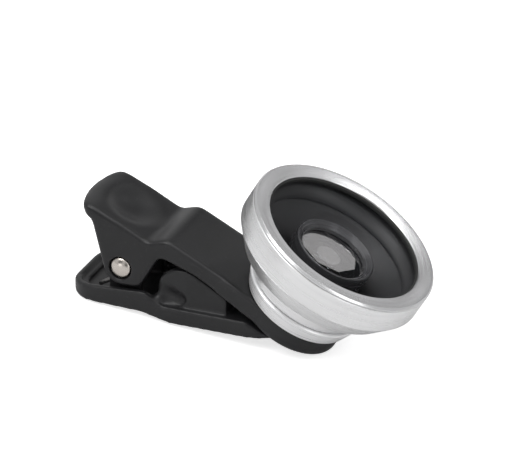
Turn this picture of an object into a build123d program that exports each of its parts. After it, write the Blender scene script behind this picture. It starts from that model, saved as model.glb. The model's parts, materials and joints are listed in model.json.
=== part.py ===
from build123d import *
import math
import os

# Clip-on phone lens: a spring clip of two moulded arms on one pin, with a close-up lens screwed
# into the upper arm's disc and a wide lens screwed on top of it. Lengths are millimetres, angles
# are degrees.
#
# Three frames are used. The lower frame has X forward along the flat underside of the lower arm's
# front half and Z up from it. The disc frame has its origin at the middle of the lens disc's
# underside, Z along the lens axis and X forward. The finished part stands on a table with X
# forward and Z up, its origin on the table below the middle of its bounding box.

# How the two arms meet
JAW_ANGLE = 30.0
DISC_X = 4.5
DISC_Z = 1.0
PIVOT_X = -25.5
PIVOT_Z = 9.3
ARM_HALF_WIDTH = 8.6
MOVING_GAP = 0.3

# Lens disc at the front of the upper arm
DISC_R = 9.8
DISC_THICK = 4.1
DISC_EDGE_R = 1.0
DISC_BORE_R = 8.3
DISC_LIP_R = 6.2
DISC_LIP_TOP = 1.5

# Upper arm, in the disc frame
SLAB_TOP = 4.0
SLAB_LEVEL_X = -10.0
SLAB_UNDER_Z = 0.5
SLAB_BEND_X = -18.0
SLAB_BEND_Z = 0.4
SLAB_REAR_Z = -0.9
SKIN = 1.9
CHEEK_WALL = 2.0
EAR_R = 3.45
EAR_REAR_NORMAL = 224.0
EAR_FRONT_X = -25.2
HUMP_X = -25.9
HUMP_Z = 3.1
CREASE_X = -28.5
CREASE_Z = 0.3
PLATE_MIDDLE_X = -35.0
PLATE_MIDDLE_Z = 0.0
PLATE_BEND_X = -41.0
PLATE_BEND_Z = -0.6
PLATE_END_X = -44.7
PLATE_END_Z = -2.4
PLATE_END_THICK = 2.2
PLATE_END_BOW = 2.4
PLATE_END_LEVEL = -1.5
PLATE_CORNER_R = 2.6
PLATE_SKIN = 2.7
CHEEK_TOP_X = -39.6
FLARE_START_X = -14.0
FLARE_END_X = -3.5
FLARE_END_Y = 9.1
DISH_SPHERE_R = 13.0
DISH_DEPTH = 1.4
DISH_X = -36.3
DISH_TOP_Z = -0.1
TOP_EDGE_R = 0.6

# Lower arm, in the lower frame
LOWER_HALF_WIDTH = 8.9
LOWER_REAR_X = -36.3
LOWER_TIP_X = 4.3
TIP_START_X = -0.8
TIP_LENGTH = 8.5
REAR_BOTTOM_Z = 1.75
BOTTOM_BEND_X = -21.2
BOTTOM_BEND_Z = 1.3
FLAT_START_X = -15.6
REAR_EDGE_R = 1.2
REAR_CORNER_R = 5.5
FRONT_RIM_X = -17.1
FRONT_RIM_Z = 3.2
TRAY_RIM_X = -20.7
TRAY_RIM_Z = 5.45
REAR_RIM_Z = 4.5
RIM_WALL = 1.3
BLOCK_HALF_WIDTH = 7.8
BLOCK_WALL = 1.8
BLOCK_REAR_X = -18.6
BLOCK_FRONT_X = -4.7
BLOCK_CORNER_R = 5.0
FLOOR_Z = 2.9
LEDGE_Z = 3.8
LEDGE_WIDTH = 1.3
CAVITY_FLOOR_Z = 2.0
LUG_FOOT_Z = 1.95
DIMPLE_X = -14.2
DIMPLE_Z = 4.9
DIMPLE_R = 1.5
DIMPLE_DEPTH = 0.7
LUG_INNER_Y = 4.5
LUG_OUTER_Y = 6.3

# Pivot pin and torsion spring
PIN_R = 1.3
PIN_RUNNING_GAP = 0.06
PIN_HEAD_R = 1.8
PIN_HEAD_THICK = 0.9
PIN_TAIL_R = 1.6
COUNTERBORE_R = 2.25
COUNTERBORE_DEPTH = 1.1
WIRE_R = 0.45
COIL_R = 2.65
COIL_PITCH = 1.55
COIL_WHOLE_TURNS = 4
LOWER_LEG_SLOPE = 24.0
LOWER_LEG_LENGTH = 8.3
UPPER_LEG_SLOPE = 50.0
UPPER_LEG_LENGTH = 6.2

# Jaw pads
PAD_PROUD = 0.3
UPPER_PAD_R = 8.4
UPPER_PAD_HOLE_R = 6.0
UPPER_PAD_RECESS = 0.8
PAD_GAP = 0.1
PAD_SIDE_GAP = 0.1
LOWER_PAD_THICK = 1.0
LOWER_PAD_HALF_WIDTH = 6.4
LOWER_PAD_REAR_X = -5.3
LOWER_PAD_FRONT_X = -1.9

# Lens stack: radii, and heights above the top of the lens disc
BASE_RING_LOW_R = 10.45
BASE_RING_R = 11.6
BASE_RING_TOP = 3.2
MACRO_BORE_R = 7.3
MACRO_GLASS_R = 6.6
NECK_R = 11.0
CONE_LOW_Z = 7.9
CONE_LOW_R = 15.7
CONE_HIGH_R = 18.3
CONE_TOP = 11.85
BARREL_R = 18.5
BARREL_TOP = 16.85
FRONT_PLANE = 17.6
BEZEL_INNER_R = 15.33
GLASS_R = 16.4
GLASS_SEAT_Z = 12.5
CUP_FLOOR_Z = 7.7
CELL_R = 7.4
CELL_FOOT_Z = 4.4
CELL_GLASS_R = 6.65
SCREW_GAP = 0.05
SEAT_GAP = 0.05


def to_lower(x, z):
    """Give the lower-frame point of a point in the disc frame."""
    tilt = math.radians(JAW_ANGLE)
    along = x * math.cos(tilt) + z * math.sin(tilt)
    up = z * math.cos(tilt) - x * math.sin(tilt)
    return DISC_X + along, DISC_Z + up


def to_disc(x, z):
    """Give the disc-frame point of a point in the lower frame."""
    tilt = math.radians(JAW_ANGLE)
    along = x - DISC_X
    up = z - DISC_Z
    return along * math.cos(tilt) - up * math.sin(tilt), along * math.sin(tilt) + up * math.cos(tilt)


PIVOT_DISC_X, PIVOT_DISC_Z = to_disc(PIVOT_X, PIVOT_Z)
CHEEK_INNER_Y = ARM_HALF_WIDTH - CHEEK_WALL
UPWARD = (Align.CENTER, Align.CENTER, Align.MIN)


def side_slab(corners, half_width):
    """Extrude a side outline, given as (X, Z) corners with their radii, to both sides."""
    points = [point for point, radius in corners]
    radii = [radius for point, radius in corners]
    with BuildPart() as slab:
        with BuildSketch(Plane.XZ):
            with BuildLine():
                FilletPolyline(*points, radius=radii, close=True)
            make_face()
        extrude(amount=half_width, both=True)
    return slab.part


def turned(points):
    """Revolve a closed outline of radius and height points about the Z axis."""
    with BuildPart() as body:
        with BuildSketch(Plane.XZ):
            with BuildLine():
                Polyline(*points, close=True)
            make_face()
        revolve(axis=Axis.Z)
    return body.part


def cross_pin(radius, x, z, y_from, y_to):
    """Make a cylinder that lies across the clip, along Y."""
    length = y_to - y_from
    place = Location((x, (y_from + y_to) / 2, z), (90, 0, 0))
    return place * Cylinder(radius, length)


def tangent_corner(center_x, center_z, radius, normal_a, normal_b):
    """Give the corner of two lines that touch a circle, from the angles of their outward normals."""
    ax, az = math.cos(math.radians(normal_a)), math.sin(math.radians(normal_a))
    bx, bz = math.cos(math.radians(normal_b)), math.sin(math.radians(normal_b))
    reach = radius / (1 + ax * bx + az * bz)
    return center_x + reach * (ax + bx), center_z + reach * (az + bz)


def upper_arm_outline():
    """Side outline of the upper arm in the disc frame, with the radius of each corner."""
    beyond_rear = PLATE_END_X - 0.6
    foot = tangent_corner(
        PIVOT_DISC_X, PIVOT_DISC_Z, EAR_R, EAR_REAR_NORMAL, JAW_ANGLE - 90
    )
    rear_rise = math.tan(math.radians(EAR_REAR_NORMAL + 90))
    cheek_top_z = foot[1] + (CHEEK_TOP_X - foot[0]) * rear_rise
    toe_z = foot[1] + (EAR_FRONT_X - foot[0]) * math.tan(math.radians(JAW_ANGLE))
    return [
        ((0, SLAB_UNDER_Z), 0),
        ((0, SLAB_TOP), 0),
        ((SLAB_LEVEL_X, SLAB_TOP), 40.0),
        ((HUMP_X, HUMP_Z), 3.0),
        ((CREASE_X, CREASE_Z), 2.0),
        ((PLATE_MIDDLE_X, PLATE_MIDDLE_Z), 12.0),
        ((PLATE_BEND_X, PLATE_BEND_Z), 9.0),
        ((beyond_rear, PLATE_END_Z), 0),
        ((beyond_rear, PLATE_END_Z - PLATE_END_THICK), 0),
        ((CHEEK_TOP_X, cheek_top_z), 1.0),
        (foot, EAR_R),
        ((EAR_FRONT_X, toe_z), 2.2),
        ((EAR_FRONT_X, SLAB_REAR_Z), 1.3),
        ((SLAB_BEND_X, SLAB_BEND_Z), 6.0),
    ]


def upper_arm_front():
    """Upright column of the upper arm's plan, whose sides flare out to the lens disc."""
    half = ARM_HALF_WIDTH
    with BuildPart() as column:
        with BuildSketch(Plane.XY.offset(-16)):
            with BuildLine():
                Polyline(
                    (-60, half), (FLARE_START_X, half), (FLARE_END_X, FLARE_END_Y),
                    (0, FLARE_END_Y), (0, -FLARE_END_Y), (FLARE_END_X, -FLARE_END_Y),
                    (FLARE_START_X, -half), (-60, -half), close=True,
                )
            make_face()
        extrude(amount=32)
    return column.part


def upper_arm_rear():
    """Column with the thumb plate's bowed rear end, which leans as the cheeks' rear edges do."""
    height = 6.0
    lean = math.radians(EAR_REAR_NORMAL + 90)
    shift = (height - PLATE_END_LEVEL) / math.tan(lean)
    corner_x = PLATE_END_X + PLATE_END_BOW
    wide = ARM_HALF_WIDTH + 0.001
    with BuildSketch() as plan:
        with BuildLine():
            ThreePointArc((corner_x, -wide), (PLATE_END_X, 0), (corner_x, wide))
            Polyline(
                (corner_x, wide), (-30, wide), (-30, 12), (20, 12),
                (20, -12), (-30, -12), (-30, -wide), (corner_x, -wide),
            )
        make_face()
        fillet(plan.vertices().sort_by(Axis.X)[:2], PLATE_CORNER_R)
    start = Pos(shift, 0, height) * plan.sketch
    return extrude(start, 30, dir=(math.cos(lean), 0, math.sin(lean)))


def shared_edges(faces, others):
    """Edges that lie between a face of the first list and a face of the second."""
    other_edges = [e for f in others for e in f.edges()]
    return [e for f in faces for e in f.edges() if any(e.is_same(o) for o in other_edges)]


def upper_arm_shell():
    """Outside of the upper arm without the lens disc, with its long top edges rounded."""
    side = side_slab(upper_arm_outline(), ARM_HALF_WIDTH + 1)
    shell = side & upper_arm_rear() & upper_arm_front()
    walls = [f for f in shell.faces() if f.normal_at().Z < 0.2 and f.normal_at().X < 0.9]
    tops = [f for f in shell.faces() if f.normal_at().Z > 0.5]
    return fillet(shared_edges(tops, walls), TOP_EDGE_R)


def lens_disc():
    """Round disc that carries the lens, with its lower edge rounded, in the disc frame."""
    disc = Cylinder(DISC_R, DISC_THICK, align=UPWARD)
    return fillet(disc.edges().group_by(Axis.Z)[0], DISC_EDGE_R)


def upper_arm_hollow():
    """Space under the upper arm's skin, between its cheeks, in the disc frame."""
    front_x = -DISC_R - 0.6
    return side_slab([
        ((-50, -20), 0),
        ((-50, PLATE_END_Z - 1.0 - PLATE_SKIN), 0),
        ((PLATE_BEND_X, PLATE_BEND_Z - PLATE_SKIN), 6.0),
        ((PLATE_MIDDLE_X, PLATE_MIDDLE_Z - PLATE_SKIN), 6.0),
        ((CREASE_X - 0.6, CREASE_Z - SKIN), 1.2),
        ((HUMP_X - 0.6, HUMP_Z - SKIN), 1.2),
        ((front_x, SLAB_TOP - SKIN), 0.8),
        ((front_x, -20), 0),
    ], CHEEK_INNER_Y)


def build_upper_arm():
    """Moulded upper arm, in the disc frame."""
    arm = upper_arm_shell() - upper_arm_hollow()
    arm += lens_disc()
    arm -= Pos(DISH_X, 0, DISH_TOP_Z + DISH_SPHERE_R - DISH_DEPTH) * Sphere(DISH_SPHERE_R)
    arm -= Pos(0, 0, DISC_LIP_TOP) * Cylinder(DISC_BORE_R, DISC_THICK, align=UPWARD)
    arm -= Cylinder(DISC_LIP_R, 2 * DISC_THICK)
    arm -= Pos(0, 0, -1) * Cylinder(UPPER_PAD_R + PAD_SIDE_GAP, 1 + UPPER_PAD_RECESS, align=UPWARD)
    arm -= cross_pin(PIN_R, PIVOT_DISC_X, PIVOT_DISC_Z, -12, 12)
    recess_floor = ARM_HALF_WIDTH - COUNTERBORE_DEPTH
    arm -= cross_pin(COUNTERBORE_R, PIVOT_DISC_X, PIVOT_DISC_Z, -12, -recess_floor)
    arm -= cross_pin(COUNTERBORE_R, PIVOT_DISC_X, PIVOT_DISC_Z, recess_floor, 12)
    return arm


def wedge_height(x):
    """Height of the lower jaw's sloping face, which lies parallel to the disc's underside."""
    tilt = math.radians(JAW_ANGLE)
    face_gap = PAD_PROUD + PAD_GAP + PAD_PROUD
    return DISC_Z + (DISC_X - x) * math.tan(tilt) - face_gap / math.cos(tilt)


def lower_arm_outline():
    """Side outline of the lower arm without its box, in the lower frame, with corner radii."""
    jaw_slope = math.tan(math.radians(JAW_ANGLE))
    wedge_top_x = DISC_X - (FRONT_RIM_Z - wedge_height(DISC_X)) / jaw_slope
    return [
        ((LOWER_REAR_X, REAR_BOTTOM_Z), REAR_EDGE_R),
        ((BOTTOM_BEND_X, BOTTOM_BEND_Z), 6.0),
        ((FLAT_START_X, 0), 6.0),
        ((LOWER_TIP_X, 0), 0),
        ((LOWER_TIP_X, wedge_height(LOWER_TIP_X)), 0),
        ((wedge_top_x, FRONT_RIM_Z), 0),
        ((FRONT_RIM_X, FRONT_RIM_Z), 1.0),
        ((TRAY_RIM_X, TRAY_RIM_Z), 0.8),
        ((LOWER_REAR_X, REAR_RIM_Z), 0.6),
    ]


def lower_arm_plan(inset):
    """Plan of the lower arm, set in from its outline: rounded rear corners and a rounded tip."""
    half = LOWER_HALF_WIDTH - inset
    with BuildSketch() as plan:
        with BuildLine():
            Polyline(
                (TIP_START_X, half), (LOWER_REAR_X + inset, half),
                (LOWER_REAR_X + inset, -half), (TIP_START_X, -half),
            )
            EllipticalCenterArc(
                (TIP_START_X, 0), TIP_LENGTH - inset, half, start_angle=-90, arc_size=180
            )
        make_face()
        rear_corners = plan.vertices().sort_by(Axis.X)[:2]
        fillet(rear_corners, REAR_CORNER_R - inset)
    return plan.sketch


def lower_box():
    """Raised box behind the jaw, in the lower frame: two side walls and the front stop wall."""
    bend = to_lower(SLAB_BEND_X, SLAB_BEND_Z - MOVING_GAP)
    slab_front = to_lower(0, SLAB_UNDER_Z - MOVING_GAP)
    slab_rear = to_lower(EAR_FRONT_X, SLAB_REAR_Z - MOVING_GAP)
    front_slope = (slab_front[1] - bend[1]) / (slab_front[0] - bend[0])
    rear_slope = (slab_rear[1] - bend[1]) / (slab_rear[0] - bend[0])
    front_top_z = bend[1] + (BLOCK_FRONT_X - bend[0]) * front_slope
    rear_top_z = bend[1] + (BLOCK_REAR_X - bend[0]) * rear_slope
    box = side_slab([
        ((BLOCK_REAR_X, 2.0), 0),
        ((BLOCK_REAR_X, rear_top_z), BLOCK_CORNER_R),
        (bend, 6.0),
        ((BLOCK_FRONT_X, front_top_z), 0.5),
        ((BLOCK_FRONT_X, 2.0), 0),
    ], BLOCK_HALF_WIDTH)
    hollow_front_x = BLOCK_FRONT_X - BLOCK_WALL
    hollow = [
        ((BLOCK_REAR_X - 3, CAVITY_FLOOR_Z), 0),
        ((BLOCK_REAR_X - 3, 20), 0),
        ((hollow_front_x, 20), 0),
        ((hollow_front_x, CAVITY_FLOOR_Z), 0),
    ]
    return box - side_slab(hollow, BLOCK_HALF_WIDTH - BLOCK_WALL)


def pivot_lugs():
    """Pair of lugs that rise from the tray to the pin, in the lower frame."""
    reach = EAR_R - 0.3
    lug = [
        ((PIVOT_X - reach, LUG_FOOT_Z), 0),
        ((PIVOT_X - reach, PIVOT_Z + reach), reach * 0.98),
        ((PIVOT_X + reach, PIVOT_Z + reach), reach * 0.98),
        ((PIVOT_X + reach, LUG_FOOT_Z), 0),
    ]
    return side_slab(lug, LUG_OUTER_Y) - side_slab(lug, LUG_INNER_Y)


def build_lower_arm():
    """Moulded lower arm, in the lower frame."""
    arm = side_slab(lower_arm_outline(), LOWER_HALF_WIDTH + 1)
    arm &= extrude(lower_arm_plan(0), 20)
    tray_front_x = BLOCK_REAR_X - 0.8
    tray_zone = Pos(tray_front_x, 0, 0) * Box(
        30, 30, 40, align=(Align.MAX, Align.CENTER, Align.CENTER)
    )
    arm -= extrude(Plane.XY.offset(LEDGE_Z) * lower_arm_plan(RIM_WALL), 10) & tray_zone
    arm -= extrude(Plane.XY.offset(FLOOR_Z) * lower_arm_plan(RIM_WALL + LEDGE_WIDTH), 10) & tray_zone
    cavity_length = BLOCK_FRONT_X - BLOCK_WALL - tray_front_x
    arm -= Pos(tray_front_x, 0, CAVITY_FLOOR_Z) * Box(
        cavity_length, 2 * (BLOCK_HALF_WIDTH - BLOCK_WALL), 20,
        align=(Align.MIN, Align.CENTER, Align.MIN),
    )
    arm += lower_box()
    arm += pivot_lugs()
    arm -= cross_pin(PIN_R + PIN_RUNNING_GAP, PIVOT_X, PIVOT_Z, -10, 10)
    arm -= disc_in_lower() * lower_pad_block(PAD_SIDE_GAP / 2, 5)
    for side in (-1, 1):
        face_y = side * BLOCK_HALF_WIDTH
        arm -= cross_pin(DIMPLE_R, DIMPLE_X, DIMPLE_Z, face_y - DIMPLE_DEPTH, face_y + DIMPLE_DEPTH)
    return arm


def disc_in_lower():
    """Place of the disc frame in the lower frame."""
    return Location((DISC_X, 0, DISC_Z), (0, JAW_ANGLE, 0))


def build_pivot_pin():
    """Shouldered pin across the clip, in the lower frame, its head on the near side."""
    seat = ARM_HALF_WIDTH - COUNTERBORE_DEPTH
    shank = cross_pin(PIN_R, PIVOT_X, PIVOT_Z, -seat, seat)
    head = cross_pin(PIN_HEAD_R, PIVOT_X, PIVOT_Z, -seat - PIN_HEAD_THICK, -seat)
    head = fillet(head.edges().group_by(Axis.Y)[0], 0.35)
    tail = cross_pin(PIN_TAIL_R, PIVOT_X, PIVOT_Z, seat, seat + 0.7)
    tail = fillet(tail.edges().group_by(Axis.Y)[-1], 0.3)
    return shank + head + tail


def build_torsion_spring():
    """Wound spring on the pin with two straight legs to the handles, in the lower frame."""
    start = -90.0 + LOWER_LEG_SLOPE
    end = 90.0 - UPPER_LEG_SLOPE + 360.0 * COIL_WHOLE_TURNS
    turns = (end - start) / 360.0
    height = turns * COIL_PITCH
    coil = Helix(pitch=COIL_PITCH, height=height, radius=COIL_R, lefthand=True)
    coil = Pos(0, 0, -height / 2) * coil
    stand = Location((PIVOT_X, 0, PIVOT_Z), (0, 0, 0)) * Location((0, 0, 0), (-90, 0, 0))
    coil = stand * Location((0, 0, 0), (0, 0, -start)) * coil
    first = coil @ 0
    last = coil @ 1
    lower_leg = Line(first - (coil % 0) * LOWER_LEG_LENGTH, first)
    upper_leg = Line(last, last + (coil % 1) * UPPER_LEG_LENGTH)
    path = Wire([lower_leg, coil, upper_leg])
    section = Plane(origin=path @ 0, z_dir=path % 0) * Circle(WIRE_R)
    return sweep(section, path=path)


def build_upper_jaw_pad():
    """Soft ring in the disc's underside, in the disc frame."""
    low = -PAD_PROUD
    high = UPPER_PAD_RECESS
    soft = 0.25
    return turned([
        (UPPER_PAD_HOLE_R, low + soft), (UPPER_PAD_HOLE_R + soft, low),
        (UPPER_PAD_R - soft, low), (UPPER_PAD_R, low + soft),
        (UPPER_PAD_R, high), (UPPER_PAD_HOLE_R, high),
    ])


def lower_pad_block(side_gap, height):
    """Block of the lower pad's plan, in the disc frame, up from the floor of the pad's recess."""
    floor_z = -PAD_PROUD - PAD_GAP - LOWER_PAD_THICK
    length = LOWER_PAD_FRONT_X - LOWER_PAD_REAR_X + 2 * side_gap
    middle_x = (LOWER_PAD_FRONT_X + LOWER_PAD_REAR_X) / 2
    block = Pos(middle_x, 0, floor_z) * Box(
        length, 2 * (LOWER_PAD_HALF_WIDTH + side_gap), height,
        align=(Align.CENTER, Align.CENTER, Align.MIN),
    )
    return fillet(block.edges().filter_by(Axis.Z), 0.8 + side_gap)


def build_lower_jaw_pad():
    """Soft strip on the lower jaw's sloping face, in the disc frame."""
    strip = lower_pad_block(0, LOWER_PAD_THICK)
    return chamfer(strip.edges().group_by(Axis.Z)[-1], 0.2)


def build_macro_barrel():
    """Turned base ring and threaded spigot of the close-up lens, in the lens frame."""
    spigot_r = DISC_BORE_R - SCREW_GAP
    foot = -DISC_THICK + DISC_LIP_TOP + SEAT_GAP
    glass_bore_r = MACRO_GLASS_R + SCREW_GAP
    return turned([
        (5.8, foot), (spigot_r - 0.3, foot), (spigot_r, foot + 0.3),
        (spigot_r, SEAT_GAP), (BASE_RING_LOW_R, SEAT_GAP), (BASE_RING_R, BASE_RING_TOP - 0.4),
        (BASE_RING_R - 0.3, BASE_RING_TOP), (MACRO_BORE_R + 0.3, BASE_RING_TOP),
        (MACRO_BORE_R, BASE_RING_TOP - 0.3), (MACRO_BORE_R, -0.4),
        (glass_bore_r, -0.4), (glass_bore_r, -2.2), (5.8, -2.2),
    ])


def spherical_arc(start, end, rise):
    """Draw half the section of a spherical surface whose middle stands off its edge by the rise."""
    edge = start if start[0] > 0 else end
    sphere_r = (edge[0] ** 2 + rise ** 2) / (2 * abs(rise))
    half = edge[0] / 2
    drop = sphere_r - math.sqrt(sphere_r ** 2 - half ** 2)
    ThreePointArc(start, (half, edge[1] + rise - math.copysign(drop, rise)), end)


def turned_glass(edge_r, edge_high, front_rise, edge_low, rear_r, rear_rise):
    """Turn a glass: a ground edge, a front surface, and a rear surface as wide as rear_r."""
    front_middle = (0, edge_high + front_rise)
    rear_middle = (0, edge_low + rear_rise)
    with BuildPart() as body:
        with BuildSketch(Plane.XZ):
            with BuildLine():
                spherical_arc(front_middle, (edge_r, edge_high), front_rise)
                Line((edge_r, edge_high), (edge_r, edge_low))
                if rear_r < edge_r:
                    Line((edge_r, edge_low), (rear_r, edge_low))
                spherical_arc((rear_r, edge_low), rear_middle, rear_rise)
                Line(rear_middle, front_middle)
            make_face()
        revolve(axis=Axis.Z)
    return body.part


def build_macro_element():
    """Close-up glass, convex on both sides, in the lens frame."""
    return turned_glass(MACRO_GLASS_R, -1.5, 1.0, -2.2 + SEAT_GAP, 5.7, -1.0)


def build_macro_retainer():
    """Threaded ring that holds the close-up glass, in the lens frame."""
    return turned([(5.6, -1.15), (MACRO_GLASS_R, -1.4), (MACRO_GLASS_R, -0.5), (5.6, -0.5)])


def build_wide_barrel():
    """Turned body of the wide lens, in the lens frame: spigot, neck, cone and cylinder."""
    shoulder = BASE_RING_TOP + SEAT_GAP
    spigot_r = MACRO_BORE_R - SCREW_GAP
    glass_bore_r = GLASS_R + SCREW_GAP
    return turned([
        (5.2, -0.3), (spigot_r - 0.3, -0.3), (spigot_r, 0), (spigot_r, shoulder),
        (NECK_R, shoulder), (NECK_R, CONE_LOW_Z - 0.5), (CONE_LOW_R - 0.3, CONE_LOW_Z - 0.1),
        (CONE_LOW_R, CONE_LOW_Z + 0.2), (CONE_HIGH_R, CONE_TOP),
        (BARREL_R, CONE_TOP + 0.1), (BARREL_R, BARREL_TOP), (17.3, BARREL_TOP),
        (17.3, 14.7), (glass_bore_r, 14.7), (glass_bore_r, GLASS_SEAT_Z),
        (15.4, GLASS_SEAT_Z), (15.4, 12.1), (11.8, 8.9), (9.4, CUP_FLOOR_Z),
        (CELL_R + 0.05, CUP_FLOOR_Z), (CELL_R + 0.05, CELL_FOOT_Z), (5.2, CELL_FOOT_Z),
    ])


def build_front_bezel():
    """Turned ring on the front of the wide lens, with a threaded skirt, in the lens frame."""
    lip_z = BARREL_TOP + SEAT_GAP
    return turned([
        (BEZEL_INNER_R, lip_z), (GLASS_R + 0.1, lip_z), (GLASS_R + 0.1, 14.8), (17.25, 14.8),
        (17.25, lip_z), (BARREL_R, lip_z), (BARREL_R, FRONT_PLANE - 0.3),
        (BARREL_R - 0.3, FRONT_PLANE), (BEZEL_INNER_R + 0.2, FRONT_PLANE),
        (BEZEL_INNER_R, FRONT_PLANE - 0.2),
    ])


def build_front_gasket():
    """Thin ring between the bezel and the front glass, in the lens frame."""
    lip_z = BARREL_TOP + SEAT_GAP
    return turned([(15.0, 16.25), (GLASS_R, 16.05), (GLASS_R, lip_z), (15.0, lip_z)])


def build_front_element():
    """Large front glass, slightly domed in front and hollow behind, in the lens frame."""
    return turned_glass(GLASS_R, 16.0, 1.3, GLASS_SEAT_Z + SEAT_GAP, 13.0, 3.6)


def build_baffle_cone():
    """Black cup between the front glass and the inner tube, in the lens frame."""
    return turned([
        (CELL_R + 0.1, CUP_FLOOR_Z + 0.05), (9.35, CUP_FLOOR_Z + 0.05), (11.75, 8.95),
        (15.3, 12.1), (15.3, GLASS_SEAT_Z - 0.05), (14.7, GLASS_SEAT_Z - 0.05),
        (CELL_R + 0.1, CUP_FLOOR_Z + 0.6),
    ])


def build_inner_cell():
    """Black tube that carries the small glasses, with a sloping lip at its mouth."""
    foot = CELL_FOOT_Z + SEAT_GAP
    bore_r = CELL_GLASS_R + SCREW_GAP
    return turned([
        (bore_r, foot), (CELL_R, foot), (CELL_R, 13.0), (CELL_R - 0.2, 13.2),
        (5.4, 12.1), (5.4, 11.6), (bore_r, 11.6),
    ])


def build_concave_element():
    """Small glass under the inner tube's lip, hollow behind, in the lens frame."""
    return turned_glass(CELL_GLASS_R, 11.4, 0.3, 10.0, 5.6, 1.0)


def build_element_spacer():
    """Ring between the two small glasses, in the lens frame."""
    return turned([(5.6, 7.3), (CELL_GLASS_R, 7.3), (CELL_GLASS_R, 9.95), (5.6, 9.95)])


def build_convex_element():
    """Rear small glass of the wide lens, in the lens frame."""
    return turned_glass(CELL_GLASS_R, 6.9, 1.0, 5.8, CELL_GLASS_R, -0.6)


def build_rear_retainer():
    """Threaded ring that closes the inner tube, in the lens frame."""
    return turned([(5.5, 4.5), (CELL_GLASS_R, 4.5), (CELL_GLASS_R, 5.55), (5.5, 5.55)])


def rest_tilt():
    """Angle that the lower arm's underside rises forward when the clip rests on a table.

    It rests on the lower arm's rear edge and on the disc's lower front edge, both rounded.
    """
    rear_slope = math.atan2(BOTTOM_BEND_Z - REAR_BOTTOM_Z, BOTTOM_BEND_X - LOWER_REAR_X)
    rear_x = LOWER_REAR_X + REAR_EDGE_R
    rear_z = REAR_BOTTOM_Z + REAR_EDGE_R * math.tan(math.pi / 4 + rear_slope / 2)
    front_x, front_z = to_lower(DISC_R - DISC_EDGE_R, DISC_EDGE_R)
    span = math.hypot(front_x - rear_x, front_z - rear_z)
    line = math.atan2(front_z - rear_z, front_x - rear_x)
    fall = line - math.asin((DISC_EDGE_R - REAR_EDGE_R) / span)
    return -math.degrees(fall)


CLIP_IN_DISC_FRAME = {
    "upper_arm": build_upper_arm,
    "upper_jaw_pad": build_upper_jaw_pad,
    "lower_jaw_pad": build_lower_jaw_pad,
}
CLIP_IN_LOWER_FRAME = {
    "lower_arm": build_lower_arm,
    "pivot_pin": build_pivot_pin,
    "torsion_spring": build_torsion_spring,
}
LENS_STACK = {
    "macro_barrel": build_macro_barrel,
    "macro_element": build_macro_element,
    "macro_retainer": build_macro_retainer,
    "wide_barrel": build_wide_barrel,
    "front_bezel": build_front_bezel,
    "front_gasket": build_front_gasket,
    "front_element": build_front_element,
    "baffle_cone": build_baffle_cone,
    "inner_cell": build_inner_cell,
    "concave_element": build_concave_element,
    "element_spacer": build_element_spacer,
    "convex_element": build_convex_element,
    "rear_retainer": build_rear_retainer,
}


def all_nodes():
    """Build every piece and stand the whole on the table, its box centred over the origin."""
    disc_place = disc_in_lower()
    lens_place = disc_place * Pos(0, 0, DISC_THICK)
    nodes = {name: disc_place * build() for name, build in CLIP_IN_DISC_FRAME.items()}
    nodes |= {name: build() for name, build in CLIP_IN_LOWER_FRAME.items()}
    nodes |= {name: lens_place * build() for name, build in LENS_STACK.items()}
    tilt = Location((0, 0, 0), (0, -rest_tilt(), 0))
    nodes = {name: tilt * shape for name, shape in nodes.items()}
    box = Compound(children=[Part(shape.wrapped) for shape in nodes.values()]).bounding_box()
    stand = Pos(-(box.min.X + box.max.X) / 2, 0, -box.min.Z)
    print("lower frame to table frame: tilt", rest_tilt(), "shift", stand.position)
    return {name: stand * shape for name, shape in nodes.items()}


os.makedirs("parts", exist_ok=True)
for node_name, node_shape in all_nodes().items():
    export_step(node_shape, f"parts/{node_name}.step")
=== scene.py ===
"""Looks of the clip-on phone lens: moulded clip, turned barrels, glasses, studio and camera."""
import json
import logging
import math
from dataclasses import dataclass
from enum import Enum
from typing import Callable, Iterable, Sequence, Union

import bpy
import numpy as np
from mathutils import Matrix, Vector

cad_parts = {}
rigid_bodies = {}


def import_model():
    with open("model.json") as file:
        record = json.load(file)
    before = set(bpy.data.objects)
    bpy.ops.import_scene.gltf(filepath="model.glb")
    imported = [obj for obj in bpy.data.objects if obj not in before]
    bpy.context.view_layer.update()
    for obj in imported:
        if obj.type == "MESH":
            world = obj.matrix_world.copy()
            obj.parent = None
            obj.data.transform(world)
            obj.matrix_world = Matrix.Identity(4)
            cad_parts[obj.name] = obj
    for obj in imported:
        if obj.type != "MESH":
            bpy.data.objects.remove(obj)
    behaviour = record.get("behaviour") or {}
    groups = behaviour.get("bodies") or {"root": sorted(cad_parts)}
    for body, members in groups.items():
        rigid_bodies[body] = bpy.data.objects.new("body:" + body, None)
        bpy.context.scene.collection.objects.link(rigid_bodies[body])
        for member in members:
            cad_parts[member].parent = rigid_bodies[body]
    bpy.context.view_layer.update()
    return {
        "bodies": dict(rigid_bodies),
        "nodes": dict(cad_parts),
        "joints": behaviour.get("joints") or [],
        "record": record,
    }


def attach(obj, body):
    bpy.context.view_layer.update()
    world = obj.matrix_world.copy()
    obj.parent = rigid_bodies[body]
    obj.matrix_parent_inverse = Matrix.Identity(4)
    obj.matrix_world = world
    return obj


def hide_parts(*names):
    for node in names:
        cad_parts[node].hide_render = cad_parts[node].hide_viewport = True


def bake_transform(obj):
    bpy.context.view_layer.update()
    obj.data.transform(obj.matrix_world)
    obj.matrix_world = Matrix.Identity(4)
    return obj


LOG = logging.getLogger("phone_lens")
MM = 0.001
Colour = tuple[float, float, float]
Corner = tuple[float, float, float]
Number = Union[float, int, "Wire"]
Place = tuple[float, float, float]
Point = tuple[float, float]
Span = tuple[float, float]
Shape = Callable[[np.ndarray, np.ndarray, np.ndarray], tuple[np.ndarray, np.ndarray]]

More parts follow.
